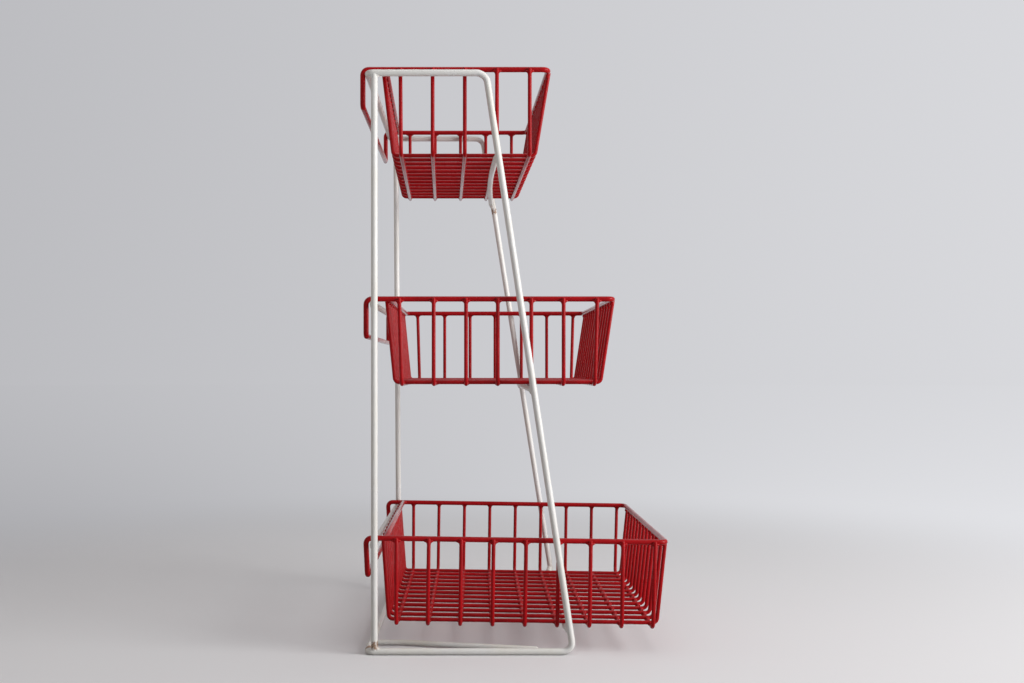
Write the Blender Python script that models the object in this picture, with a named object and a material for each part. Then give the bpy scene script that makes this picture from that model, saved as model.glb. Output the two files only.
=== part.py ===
"""Three-tier vegetable rack: a welded rod frame that carries three lift-off wire baskets.

The rack's front faces -Y, its width lies along X and its floor is at Z = 0, with the origin under the
middle of its outline. All sizes are metres. A reach is a distance forward of the rear legs, or of the
rear bar that a basket hangs on. Sizes between rods are measured between their centre lines.
"""

import math

import bmesh
import bpy
from mathutils import Vector

# Space between pieces that touch, and depth by which wires fused into one piece enter each other
CONTACT_GAP = 0.0003
WELD_DEPTH = 0.0004
SEW_DISTANCE = 0.00001

# Frame, as seen from the side
FRAME_HEIGHT = 0.6077
FRAME_WIDTH = 0.344
TOP_REACH = 0.1160
BASE_REACH = 0.2066
SIDE_ROD_DIAMETER = 0.0072
FRONT_TOP_RADIUS = 0.012
FRONT_FOOT_RADIUS = 0.0095
REAR_LEG_DIAMETER = 0.0072

# Rear corners, where the side rods turn inward behind the rear legs
REAR_CORNER_RADIUS = 0.0065
REAR_CORNER_SETBACK = 0.0068
REAR_WELD_INSET = 0.022

# Rear bars between the rear legs, which the middle and bottom baskets hang on
REAR_BAR_DIAMETER = 0.0066
REAR_BAR_SETBACK = 0.0016
MIDDLE_BAR_HEIGHT = 0.3642
LOWER_BAR_HEIGHT = 0.1138

# Front bars, butted between the front legs under the basket floors. The top one is bowed to the rear
# and the bottom one has its ends joggled up to the legs. Insets are from the legs' centre lines.
FRONT_BAR_DIAMETER = 0.0070
FRONT_BAR_SETBACK = 0.0035
FRONT_TOP_BAR_BOW = 0.0045
FRONT_TOP_BAR_BEND_INSET = 0.072
FRONT_TOP_BAR_BEND_RADIUS = 0.4
FRONT_BOTTOM_BAR_RISE = 0.0035
FRONT_BOTTOM_BAR_BEND_INSET = 0.0195
FRONT_BOTTOM_BAR_END_INSET = 0.0074
FRONT_BOTTOM_BAR_BEND_RADIUS = 0.008

# Base braces, from the rear base bar out to the bottom bars
BRACE_DIAMETER = 0.0056
BRACE_REAR_INSET = 0.041
BRACE_BEND_REACH = 0.0249
BRACE_BEND_RADIUS = 0.03
BRACE_FRONT_REACH = 0.170

# Wire of all baskets
RIM_DIAMETER = 0.0051
WIRE_DIAMETER = 0.0039
WIRE_BEND_RADIUS = 0.006
WIRE_TIP = 0.0010
RIM_CORNER_RADIUS = 0.007
BASKET_HEIGHT = 0.0874
BASKET_SIDE_CLEARANCE = 0.0009
HOOK_HEIGHT = 0.039
HOOK_CORNER_RADIUS = 0.005
LONG_WIRE_COUNT = 13
OUTER_LONG_WIRE_INSET = 0.0138

# Top basket
TOP_DEPTH = 0.1674
TOP_REAR_REACH = 0.0187
TOP_FRONT_LEAN = 0.0147
TOP_REAR_LEAN = 0.0103
TOP_FRONT_CROSS_WIRE_INSET = 0.0078
TOP_REAR_CROSS_WIRE_INSET = 0.0086
TOP_HOOK_CLEARANCE = 0.0003
TOP_WIRE_OVER_BAR = 0.0013

# Middle basket
MIDDLE_DEPTH = 0.2321
MIDDLE_REAR_REACH = 0.0165
MIDDLE_FRONT_LEAN = 0.0133
MIDDLE_REAR_LEAN = 0.0087
MIDDLE_FRONT_CROSS_WIRE_INSET = 0.0052
MIDDLE_REAR_CROSS_WIRE_INSET = 0.0054
MIDDLE_HOOK_CLEARANCE = 0.0023
MIDDLE_WIRE_OVER_BAR = 0.0008

# Bottom basket, which hangs with its front a little lower than its rear
BOTTOM_DEPTH = 0.2918
BOTTOM_REAR_REACH = 0.0123
BOTTOM_FRONT_DROP = 0.0043
BOTTOM_FRONT_LEAN = 0.0079
BOTTOM_REAR_LEAN = 0.0075
BOTTOM_FRONT_CROSS_WIRE_INSET = 0.0066
BOTTOM_REAR_CROSS_WIRE_INSET = 0.0083
BOTTOM_HOOK_CLEARANCE = 0.0027
BOTTOM_HOOK_LEAN = 0.0024
BOTTOM_WIRE_BEHIND_BAR = 0.0095

# Facets: a tube has four sides and two more for each step of its bevel resolution
ROD_RESOLUTION = 4
WIRE_RESOLUTION = 2
ROD_BEND_STEPS = 4
WIRE_BEND_STEPS = 3

# Coats
CREAM = (0.80, 0.78, 0.70, 1.0)
RED = (0.36, 0.015, 0.018, 1.0)
CREAM_ROUGHNESS = 0.38
RED_ROUGHNESS = 0.30

# Sizes that follow from those above
ROD_RADIUS = SIDE_ROD_DIAMETER / 2
ROD_FACET_TURN = math.pi / (4 + 2 * ROD_RESOLUTION)
ROD_SEAT = ROD_RADIUS * math.cos(ROD_FACET_TURN)
BOTTOM_BAR_HEIGHT = ROD_SEAT
TOP_BAR_HEIGHT = FRAME_HEIGHT - ROD_SEAT
LEG_SLOPE = (BASE_REACH - TOP_REACH) / (TOP_BAR_HEIGHT - BOTTOM_BAR_HEIGHT)
FRONT_BAR_RADIUS = FRONT_BAR_DIAMETER / 2
RIM_RADIUS = RIM_DIAMETER / 2
WIRE_RADIUS = WIRE_DIAMETER / 2
WIRE_LAP = RIM_RADIUS + CONTACT_GAP + WIRE_RADIUS
WELDED_LAP = RIM_RADIUS - WELD_DEPTH + WIRE_RADIUS
CROSS_WIRE_SIDE = FRAME_WIDTH / 2 - ROD_RADIUS - BASKET_SIDE_CLEARANCE - WIRE_RADIUS
RIM_SIDE = CROSS_WIRE_SIDE - WIRE_LAP
FLOOR_LAP = WIRE_DIAMETER + CONTACT_GAP

# The rear bar that each basket hangs on, and the cross wire nearest its front bar, counted from the
# rear, with its reach beyond that bar. Where it lies on the bar, the floor rests on it, and otherwise
# the long wires rest on the bar. A front bar's bends are listed from its end inward, each as its inset,
# its distance to the rear, its rise and its radius.
BASKETS = [
    {
        "name": "top_basket",
        "bar_name": "front_top_bar",
        "bar_reach": -REAR_CORNER_SETBACK,
        "bar_height": TOP_BAR_HEIGHT,
        "bar_radius": ROD_RADIUS,
        "depth": TOP_DEPTH,
        "rear_reach": TOP_REAR_REACH,
        "front_drop": 0.0,
        "front_lean": TOP_FRONT_LEAN,
        "rear_lean": TOP_REAR_LEAN,
        "front_wire_inset": TOP_FRONT_CROSS_WIRE_INSET,
        "rear_wire_inset": TOP_REAR_CROSS_WIRE_INSET,
        "hook_clearance": TOP_HOOK_CLEARANCE,
        "hook_lean": 0.0,
        "wire_count": 5,
        "near_wire": 4,
        "near_wire_reach": TOP_WIRE_OVER_BAR,
        "wire_on_bar": True,
        "bar_end_rise": 0.0,
        "bar_bends": [
            (FRONT_TOP_BAR_BEND_INSET, FRONT_TOP_BAR_BOW, 0.0, FRONT_TOP_BAR_BEND_RADIUS),
        ],
    },
    {
        "name": "middle_basket",
        "bar_name": "front_middle_bar",
        "bar_reach": -REAR_BAR_SETBACK,
        "bar_height": MIDDLE_BAR_HEIGHT,
        "bar_radius": REAR_BAR_DIAMETER / 2,
        "depth": MIDDLE_DEPTH,
        "rear_reach": MIDDLE_REAR_REACH,
        "front_drop": 0.0,
        "front_lean": MIDDLE_FRONT_LEAN,
        "rear_lean": MIDDLE_REAR_LEAN,
        "front_wire_inset": MIDDLE_FRONT_CROSS_WIRE_INSET,
        "rear_wire_inset": MIDDLE_REAR_CROSS_WIRE_INSET,
        "hook_clearance": MIDDLE_HOOK_CLEARANCE,
        "hook_lean": 0.0,
        "wire_count": 7,
        "near_wire": 5,
        "near_wire_reach": MIDDLE_WIRE_OVER_BAR,
        "wire_on_bar": True,
        "bar_end_rise": 0.0,
        "bar_bends": [],
    },
    {
        "name": "bottom_basket",
        "bar_name": "front_bottom_bar",
        "bar_reach": -REAR_BAR_SETBACK,
        "bar_height": LOWER_BAR_HEIGHT,
        "bar_radius": REAR_BAR_DIAMETER / 2,
        "depth": BOTTOM_DEPTH,
        "rear_reach": BOTTOM_REAR_REACH,
        "front_drop": BOTTOM_FRONT_DROP,
        "front_lean": BOTTOM_FRONT_LEAN,
        "rear_lean": BOTTOM_REAR_LEAN,
        "front_wire_inset": BOTTOM_FRONT_CROSS_WIRE_INSET,
        "rear_wire_inset": BOTTOM_REAR_CROSS_WIRE_INSET,
        "hook_clearance": BOTTOM_HOOK_CLEARANCE,
        "hook_lean": BOTTOM_HOOK_LEAN,
        "wire_count": 9,
        "near_wire": 6,
        "near_wire_reach": -BOTTOM_WIRE_BEHIND_BAR,
        "wire_on_bar": False,
        "bar_end_rise": FRONT_BOTTOM_BAR_RISE,
        "bar_bends": [
            (FRONT_BOTTOM_BAR_END_INSET, 0.0, FRONT_BOTTOM_BAR_RISE, FRONT_BOTTOM_BAR_BEND_RADIUS),
            (FRONT_BOTTOM_BAR_BEND_INSET, 0.0, 0.0, FRONT_BOTTOM_BAR_BEND_RADIUS),
        ],
    },
]


def clear_scene():
    for old in list(bpy.data.objects):
        bpy.data.objects.remove(old, do_unlink=True)


def make_material(name, colour, roughness):
    material = bpy.data.materials.new(name)
    material.use_nodes = True
    shader = material.node_tree.nodes["Principled BSDF"]
    shader.inputs["Base Color"].default_value = colour
    shader.inputs["Roughness"].default_value = roughness
    shader.inputs["Metallic"].default_value = 0.0
    return material


def make_empty(name, place, parent=None):
    empty = bpy.data.objects.new(name, None)
    empty.location = place
    empty.parent = parent
    bpy.context.collection.objects.link(empty)
    return empty


def place(x, reach, height):
    """A point of the frame or of a basket, whose front faces -Y."""
    return Vector((x, -reach, height))


def bend(before, corner, after, radius, steps):
    """Points along the arc of one radius that rounds a corner."""
    inward = (corner - before).normalized()
    outward = (after - corner).normalized()
    angle = inward.angle(outward)
    side = (outward - inward * inward.dot(outward)).normalized()
    start = corner - inward * radius * math.tan(angle / 2)
    centre = start + side * radius
    points = []
    for step in range(steps + 1):
        turned = angle * step / steps
        points.append(centre - side * radius * math.cos(turned) + inward * radius * math.sin(turned))
    return points


def bent_path(corners, steps, closed=False):
    """A wire's centre line through (point, bend radius) corners. An open path's ends have no bend."""
    places = [point for point, radius in corners]
    points = []
    for index, (point, radius) in enumerate(corners):
        at_end = index in (0, len(corners) - 1) and not closed
        if at_end:
            points.append(point)
        else:
            after = places[(index + 1) % len(places)]
            points += bend(places[index - 1], point, after, radius, steps)
    return points


def make_tubes(name, paths, diameter, material, parent, resolution, facet_turn=0.0, closed=False):
    """One object of round rods or wires, each along its own path."""
    curve = bpy.data.curves.new(name, "CURVE")
    curve.dimensions = "3D"
    curve.bevel_depth = diameter / 2
    curve.bevel_resolution = resolution
    curve.use_fill_caps = True
    for path in paths:
        spline = curve.splines.new("POLY")
        spline.points.add(len(path) - 1)
        for spline_point, point in zip(spline.points, path):
            spline_point.co = (*point, 1.0)
            spline_point.tilt = facet_turn
        spline.use_cyclic_u = closed
    curve.materials.append(material)
    tubes = bpy.data.objects.new(name, curve)
    tubes.parent = parent
    bpy.context.collection.objects.link(tubes)
    return tubes


def sewn_mesh(tubes):
    """Turns tubes into a mesh whose end caps are sewn to them, so that it can be fused with another."""
    mesh = bpy.data.meshes.new_from_object(tubes)
    sewn = bmesh.new()
    sewn.from_mesh(mesh)
    bmesh.ops.remove_doubles(sewn, verts=sewn.verts, dist=SEW_DISTANCE)
    sewn.to_mesh(mesh)
    sewn.free()
    name = tubes.name
    parent = tubes.parent
    bpy.data.objects.remove(tubes, do_unlink=True)
    solid = bpy.data.objects.new(name, mesh)
    solid.parent = parent
    bpy.context.collection.objects.link(solid)
    return solid


def fuse(base, added):
    """Welds the added solids onto the base, which they enter."""
    added.hide_render = True
    added.display_type = "WIRE"
    weld = base.modifiers.new("weld", "BOOLEAN")
    weld.operation = "UNION"
    weld.solver = "EXACT"
    weld.object = added


def make_rod(name, path, diameter, material, parent):
    """A frame rod, turned so that one of its facets lies flat on the floor."""
    make_tubes(name, [path], diameter, material, parent, ROD_RESOLUTION, ROD_FACET_TURN)


def make_crossbar(name, half_length, reach, height, diameter, material, parent):
    ends = [place(-half_length, reach, height), place(half_length, reach, height)]
    make_rod(name, ends, diameter, material, parent)


def rim_height(basket):
    """Above the rear bar's centre line, as is every height of a basket."""
    return basket["bar_radius"] + CONTACT_GAP + RIM_RADIUS


def long_wire_height(basket):
    return rim_height(basket) - BASKET_HEIGHT


def basket_pitch(basket):
    """The angle by which a basket's front hangs down about its rear bar."""
    return math.atan2(basket["front_drop"], basket["depth"])


def leg_reach(height):
    """Reach of the front legs' centre lines at a height."""
    return TOP_REACH + (TOP_BAR_HEIGHT - height) * LEG_SLOPE


def front_bar_place(basket):
    """Reach of a front bar's ends, set back from the front legs, and the height where the basket rests."""
    pitch = basket_pitch(basket)
    under = WIRE_RADIUS + CONTACT_GAP + FRONT_BAR_RADIUS
    if basket["wire_on_bar"]:
        under += FLOOR_LAP
    floor_start = basket["bar_height"] + (long_wire_height(basket) - under) / math.cos(pitch)
    floor_start += basket["bar_reach"] * math.tan(pitch)
    setback = FRONT_BAR_SETBACK * math.hypot(1, LEG_SLOPE)
    leg_start = leg_reach(0) - setback
    height = (floor_start - leg_start * math.tan(pitch)) / (1 - LEG_SLOPE * math.tan(pitch))
    return leg_start - height * LEG_SLOPE, height


def hook_reach(basket):
    return -(basket["bar_radius"] + basket["hook_clearance"] + RIM_RADIUS)


def front_rim_reach(basket):
    return basket["rear_reach"] + basket["depth"]


def front_wall_reach(basket):
    """Where the front wall's wires pass in front of the rim, at the rim's height."""
    return front_rim_reach(basket) + WIRE_LAP * math.hypot(1, basket["front_lean"] / BASKET_HEIGHT)


def rear_wall_reach(basket):
    """Where the rear wall's wires pass behind the rear rim wire, which they are fused to."""
    return basket["rear_reach"] - WELDED_LAP * math.hypot(1, basket["rear_lean"] / BASKET_HEIGHT)


def front_extent(basket):
    pitch = basket_pitch(basket)
    tip_reach = front_wall_reach(basket) + WIRE_TIP * basket["front_lean"] / BASKET_HEIGHT
    tip_height = rim_height(basket) + WIRE_TIP
    tip = tip_reach * math.cos(pitch) + tip_height * math.sin(pitch)
    return basket["bar_reach"] + tip + WIRE_RADIUS


def rear_extent(basket):
    return basket["bar_reach"] + hook_reach(basket) - RIM_RADIUS


def cross_wire_reaches(basket):
    """Evenly spaced in front of and behind the wire that is nearest the front bar."""
    pitch = basket_pitch(basket)
    bar_reach, bar_height = front_bar_place(basket)
    bar = (bar_reach - basket["bar_reach"]) * math.cos(pitch)
    bar -= (bar_height - basket["bar_height"]) * math.sin(pitch)
    near = bar + basket["near_wire_reach"]
    first = rear_wall_reach(basket) + basket["rear_lean"] + basket["rear_wire_inset"]
    last = front_wall_reach(basket) - basket["front_lean"] - basket["front_wire_inset"]
    behind = basket["near_wire"] - 1
    ahead = basket["wire_count"] - basket["near_wire"]
    rear_pitch = (near - first) / behind
    front_pitch = (last - near) / ahead
    reaches = [first + rear_pitch * index for index in range(behind)]
    reaches += [near + front_pitch * index for index in range(ahead + 1)]
    return reaches


def make_side_rod(name, side, material, parent):
    """Top bar, front leg and bottom bar in one rod, whose ends turn inward behind the rear leg."""
    x = side * FRAME_WIDTH / 2
    weld_x = side * (FRAME_WIDTH / 2 - REAR_WELD_INSET)
    rear = -REAR_CORNER_SETBACK
    corners = [
        (place(weld_x, rear, TOP_BAR_HEIGHT), 0),
        (place(x, rear, TOP_BAR_HEIGHT), REAR_CORNER_RADIUS),
        (place(x, TOP_REACH, TOP_BAR_HEIGHT), FRONT_TOP_RADIUS),
        (place(x, BASE_REACH, BOTTOM_BAR_HEIGHT), FRONT_FOOT_RADIUS),
        (place(x, rear, BOTTOM_BAR_HEIGHT), REAR_CORNER_RADIUS),
        (place(weld_x, rear, BOTTOM_BAR_HEIGHT), 0),
    ]
    make_rod(name, bent_path(corners, ROD_BEND_STEPS), SIDE_ROD_DIAMETER, material, parent)


def make_rear_leg(name, side, material, parent):
    x = side * FRAME_WIDTH / 2
    foot = BOTTOM_BAR_HEIGHT + ROD_SEAT + CONTACT_GAP
    head = TOP_BAR_HEIGHT - ROD_SEAT - CONTACT_GAP
    make_rod(name, [place(x, 0, foot), place(x, 0, head)], REAR_LEG_DIAMETER, material, parent)


def make_base_brace(name, side, material, parent):
    """Starts square on the rear base bar, then runs outward until it lies against the bottom bar."""
    rear_x = side * (FRAME_WIDTH / 2 - BRACE_REAR_INSET)
    front_x = side * (FRAME_WIDTH / 2 - ROD_RADIUS - CONTACT_GAP - BRACE_DIAMETER / 2)
    rear = ROD_RADIUS + CONTACT_GAP - REAR_CORNER_SETBACK
    corners = [
        (place(rear_x, rear, BOTTOM_BAR_HEIGHT), 0),
        (place(rear_x, BRACE_BEND_REACH, BOTTOM_BAR_HEIGHT), BRACE_BEND_RADIUS),
        (place(front_x, BRACE_FRONT_REACH, BOTTOM_BAR_HEIGHT), 0),
    ]
    make_rod(name, bent_path(corners, ROD_BEND_STEPS), BRACE_DIAMETER, material, parent)


def make_front_bar(basket, material, parent):
    """A bar, straight or with bends near both ends, cut to fit between the front legs."""
    reach, height = front_bar_place(basket)
    rise = basket["bar_end_rise"]
    half = FRAME_WIDTH / 2 - ROD_RADIUS - CONTACT_GAP
    ends = [(half, reach - rise * LEG_SLOPE, height + rise, 0)]
    for inset, back, bend_rise, radius in basket["bar_bends"]:
        x = FRAME_WIDTH / 2 - inset
        ends.append((x, reach - back - bend_rise * LEG_SLOPE, height + bend_rise, radius))
    corners = [(place(-x, y, z), radius) for x, y, z, radius in ends]
    corners += [(place(x, y, z), radius) for x, y, z, radius in reversed(ends)]
    path = bent_path(corners, ROD_BEND_STEPS)
    make_rod(basket["bar_name"], path, FRONT_BAR_DIAMETER, material, parent)


def make_frame(material, parent):
    for name, side in (("left", -1), ("right", 1)):
        make_side_rod(name + "_side_rod", side, material, parent)
        make_rear_leg(name + "_rear_leg", side, material, parent)
        make_base_brace(name + "_base_brace", side, material, parent)

    weld_half = FRAME_WIDTH / 2 - REAR_WELD_INSET - CONTACT_GAP
    corner = -REAR_CORNER_SETBACK
    make_crossbar("rear_top_bar", weld_half, corner, TOP_BAR_HEIGHT, SIDE_ROD_DIAMETER, material, parent)
    make_crossbar("rear_base_bar", weld_half, corner, BOTTOM_BAR_HEIGHT, SIDE_ROD_DIAMETER, material, parent)

    leg_half = FRAME_WIDTH / 2 - REAR_LEG_DIAMETER / 2 - CONTACT_GAP
    rear = -REAR_BAR_SETBACK
    make_crossbar("rear_middle_bar", leg_half, rear, MIDDLE_BAR_HEIGHT, REAR_BAR_DIAMETER, material, parent)
    make_crossbar("rear_lower_bar", leg_half, rear, LOWER_BAR_HEIGHT, REAR_BAR_DIAMETER, material, parent)

    for basket in BASKETS:
        make_front_bar(basket, material, parent)


def make_rim(basket, material, parent):
    """One closed loop: front, sides over the rear bar, tails down behind it and the hook across."""
    rim = rim_height(basket)
    low = rim - HOOK_HEIGHT
    front = front_rim_reach(basket)
    hook = hook_reach(basket)
    low_hook = hook + basket["hook_lean"]
    round_bar = basket["bar_radius"] + CONTACT_GAP + RIM_RADIUS
    corners = [
        (place(-RIM_SIDE, front, rim), RIM_CORNER_RADIUS),
        (place(RIM_SIDE, front, rim), RIM_CORNER_RADIUS),
        (place(RIM_SIDE, hook, rim), round_bar),
        (place(RIM_SIDE, low_hook, low), HOOK_CORNER_RADIUS),
        (place(-RIM_SIDE, low_hook, low), HOOK_CORNER_RADIUS),
        (place(-RIM_SIDE, hook, rim), round_bar),
    ]
    path = bent_path(corners, ROD_BEND_STEPS, closed=True)
    name = basket["name"] + "_rim"
    make_tubes(name, [path], RIM_DIAMETER, material, parent, WIRE_RESOLUTION, closed=True)


def make_cross_wires(basket, material, parent):
    """Up one side, under the long wires and up the other, lapped outside the side rims."""
    floor = long_wire_height(basket) - FLOOR_LAP
    tip = rim_height(basket) + WIRE_TIP
    for number, reach in enumerate(cross_wire_reaches(basket), start=1):
        corners = [
            (place(-CROSS_WIRE_SIDE, reach, tip), 0),
            (place(-CROSS_WIRE_SIDE, reach, floor), WIRE_BEND_RADIUS),
            (place(CROSS_WIRE_SIDE, reach, floor), WIRE_BEND_RADIUS),
            (place(CROSS_WIRE_SIDE, reach, tip), 0),
        ]
        path = bent_path(corners, WIRE_BEND_STEPS)
        name = f"{basket['name']}_cross_wire_{number}"
        make_tubes(name, [path], WIRE_DIAMETER, material, parent, WIRE_RESOLUTION)


def long_wire_paths(basket):
    """Up the rear wall, along the floor and up the front wall."""
    floor = long_wire_height(basket)
    tip = rim_height(basket) + WIRE_TIP
    front_tip = WIRE_TIP * basket["front_lean"] / BASKET_HEIGHT
    rear_tip = WIRE_TIP * basket["rear_lean"] / BASKET_HEIGHT
    front = front_wall_reach(basket)
    rear = rear_wall_reach(basket)
    half = RIM_SIDE - OUTER_LONG_WIRE_INSET
    pitch = 2 * half / (LONG_WIRE_COUNT - 1)
    paths = []
    for index in range(LONG_WIRE_COUNT):
        x = pitch * index - half
        corners = [
            (place(x, rear - rear_tip, tip), 0),
            (place(x, rear + basket["rear_lean"], floor), WIRE_BEND_RADIUS),
            (place(x, front - basket["front_lean"], floor), WIRE_BEND_RADIUS),
            (place(x, front + front_tip, tip), 0),
        ]
        paths.append(bent_path(corners, WIRE_BEND_STEPS))
    return paths


def make_long_wires(basket, material, parent):
    """The long wires, fused with the straight rear rim wire that they are welded behind."""
    half = RIM_SIDE - RIM_RADIUS - CONTACT_GAP
    rim = rim_height(basket)
    rear = basket["rear_reach"]
    rear_rim = [place(-half, rear, rim), place(half, rear, rim)]
    name = basket["name"] + "_long_wires"
    comb = make_tubes(name, [rear_rim], RIM_DIAMETER, material, parent, WIRE_RESOLUTION)
    wires = make_tubes(
        name + "_guide", long_wire_paths(basket), WIRE_DIAMETER, material, parent, WIRE_RESOLUTION
    )
    fuse(sewn_mesh(comb), sewn_mesh(wires))


def make_basket(basket, material, frame):
    hang = make_empty(basket["name"], place(0, basket["bar_reach"], basket["bar_height"]), frame)
    hang.rotation_euler.x = basket_pitch(basket)
    make_rim(basket, material, hang)
    make_cross_wires(basket, material, hang)
    make_long_wires(basket, material, hang)


def main():
    clear_scene()
    cream = make_material("cream_coat", CREAM, CREAM_ROUGHNESS)
    red = make_material("red_coat", RED, RED_ROUGHNESS)
    foremost = max(front_extent(basket) for basket in BASKETS)
    rearmost = min(rear_extent(basket) for basket in BASKETS)
    frame = make_empty("frame", (0, (foremost + rearmost) / 2, 0))
    make_frame(cream, frame)
    for basket in BASKETS:
        make_basket(basket, red, frame)


main()
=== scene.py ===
import math

import bmesh
import bpy
from mathutils import Matrix, Vector


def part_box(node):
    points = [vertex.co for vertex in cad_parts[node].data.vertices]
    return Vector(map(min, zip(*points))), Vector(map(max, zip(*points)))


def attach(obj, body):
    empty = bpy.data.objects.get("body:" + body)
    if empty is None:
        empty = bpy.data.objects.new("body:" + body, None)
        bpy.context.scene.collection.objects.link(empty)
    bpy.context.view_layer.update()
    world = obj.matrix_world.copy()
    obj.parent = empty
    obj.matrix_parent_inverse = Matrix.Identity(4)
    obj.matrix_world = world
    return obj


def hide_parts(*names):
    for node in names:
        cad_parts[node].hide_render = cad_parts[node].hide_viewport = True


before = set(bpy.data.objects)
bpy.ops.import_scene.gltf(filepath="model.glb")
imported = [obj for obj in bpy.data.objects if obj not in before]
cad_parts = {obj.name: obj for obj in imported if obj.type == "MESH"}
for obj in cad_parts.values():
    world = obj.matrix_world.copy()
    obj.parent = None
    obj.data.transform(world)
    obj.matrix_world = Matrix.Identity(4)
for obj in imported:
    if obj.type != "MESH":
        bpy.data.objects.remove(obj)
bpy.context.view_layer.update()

# Side rods. Each side of the frame is one steel rod, bent cold into the top bar, the sloping front leg
# and the bottom bar, with both rear ends turned inward, and stoved with a cream enamel that has aged
# unevenly: yellower where it lies thick, with rust at the welds and a few dark chips.
ROD_RADIUS = 0.003475
FRAME_HALF_WIDTH = 0.172
TOP_BAR_HEIGHT = 0.604223
BOTTOM_BAR_HEIGHT = 0.003477
TOP_BAR_REACH = 0.1160
BOTTOM_BAR_REACH = 0.2066
RIGHT_FOOT_AHEAD = 0.0042
TOP_BEND = 0.012
FOOT_BEND = 0.0095
CORNER_BEND = 0.0065
CORNER_SETBACK = 0.0068
TURNED_IN = 0.022
ROD_FACETS = 20
ROD_BEND_STEPS = 8
WIRE_BEND_STEPS = 6
END_ROUNDING_SHARE = 0.55
END_STEPS = 3
SAME_SPOT = 1e-6
leg_low, leg_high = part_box("left_rear_leg")
LEG_LINE = (leg_low.y + leg_high.y) / 2


def place(x, reach, height):
    """A point of the frame, whose reach is measured forward from the rear legs. The real frame is
    racked: towards the floor, its right side stands a little ahead of its left side."""
    share = (0.5 + x / (2 * FRAME_HALF_WIDTH)) * (1 - height / TOP_BAR_HEIGHT)
    return Vector((x, LEG_LINE - reach - RIGHT_FOOT_AHEAD * share, height))


def pick_corners(wire, points):
    """Selects the vertices of a wire that lie at some points."""
    cage = bmesh.from_edit_mesh(wire.data)
    for vert in cage.verts:
        at = wire.matrix_world @ vert.co
        vert.select = any((at - point).length < SAME_SPOT for point in points)
    cage.select_flush_mode()
    bmesh.update_edit_mesh(wire.data)


def bent_wire(name, corners, radius, facets, bend_steps=WIRE_BEND_STEPS, closed=False):
    """Extrudes a wire's line from corner to corner, rounds its bends and gives it its thickness. Each
    corner is a point with the radius of its bend, and the line starts as a plane merged to a point."""
    bpy.ops.object.select_all(action="DESELECT")
    points = [Vector(point) for point, bend in corners]
    bpy.ops.mesh.primitive_plane_add(size=radius, location=points[0])
    wire = bpy.context.object
    wire.name = name
    bpy.ops.object.mode_set(mode="EDIT")
    bpy.ops.mesh.select_mode(type="VERT")
    bpy.ops.mesh.merge(type="CENTER")
    for before, after in zip(points, points[1:]):
        bpy.ops.mesh.extrude_region_move(TRANSFORM_OT_translate={"value": after - before})
    if closed:
        pick_corners(wire, [points[0], points[-1]])
        bpy.ops.mesh.edge_face_add()
    for index, (point, bend) in enumerate(corners):
        if bend:
            come = (points[index] - points[index - 1]).normalized()
            go = (points[(index + 1) % len(points)] - points[index]).normalized()
            pick_corners(wire, [points[index]])
            bpy.ops.mesh.bevel(
                affect="VERTICES", offset=bend * math.tan(come.angle(go) / 2),
                segments=bend_steps, clamp_overlap=False,
            )
    bpy.ops.object.mode_set(mode="OBJECT")
    bpy.ops.object.convert(target="CURVE")
    line = bpy.context.object.data
    line.bevel_depth = radius
    line.bevel_resolution = facets // 2 - 2  # 0 gives four sides, and each step two more
    bpy.ops.object.convert(target="MESH")
    wire = bpy.context.object
    bpy.ops.object.mode_set(mode="EDIT")
    bpy.ops.mesh.select_mode(type="FACE")
    bpy.ops.mesh.select_all(action="SELECT")
    if not closed:
        bpy.ops.mesh.fill_holes(sides=0)
        bpy.ops.mesh.select_all(action="DESELECT")
        bpy.ops.mesh.select_face_by_sides(number=4, type="GREATER")
        bpy.ops.mesh.bevel(
            offset=radius * END_ROUNDING_SHARE, segments=END_STEPS, clamp_overlap=False)
        bpy.ops.mesh.select_all(action="SELECT")
    bpy.ops.mesh.normals_make_consistent(inside=False)
    bpy.ops.object.mode_set(mode="OBJECT")
    bpy.ops.object.transform_apply(location=True, rotation=True, scale=True)
    bpy.ops.object.shade_smooth()
    return wire


def join_pieces(pieces, name):
    """Joins meshes that are one piece in the real rack."""
    bpy.ops.object.select_all(action="DESELECT")
    for piece in pieces:
        piece.select_set(True)
    bpy.context.view_layer.objects.active = pieces[0]
    bpy.ops.object.join()
    whole = bpy.context.object
    whole.name = name
    return whole


def add_node(tree, kind, sockets=(), **settings):
    """Adds a node, with its settings and with values or links for its inputs."""
    node = tree.nodes.new(kind)
    for key, value in settings.items():
        setattr(node, key, value)
    for key, value in dict(sockets).items():
        if isinstance(value, bpy.types.NodeSocket):
            tree.links.new(value, node.inputs[key])
        else:
            node.inputs[key].default_value = value
    return node


def start_group(name, inputs, outputs):
    """A node group with named inputs and outputs, and its two end nodes."""
    group = bpy.data.node_groups.new(name, "ShaderNodeTree")
    for in_out, sockets in (("INPUT", inputs), ("OUTPUT", outputs)):
        for socket, kind in sockets:
            group.interface.new_socket(name=socket, in_out=in_out, socket_type=kind)
    return group, group.nodes.new("NodeGroupInput"), group.nodes.new("NodeGroupOutput")


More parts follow.
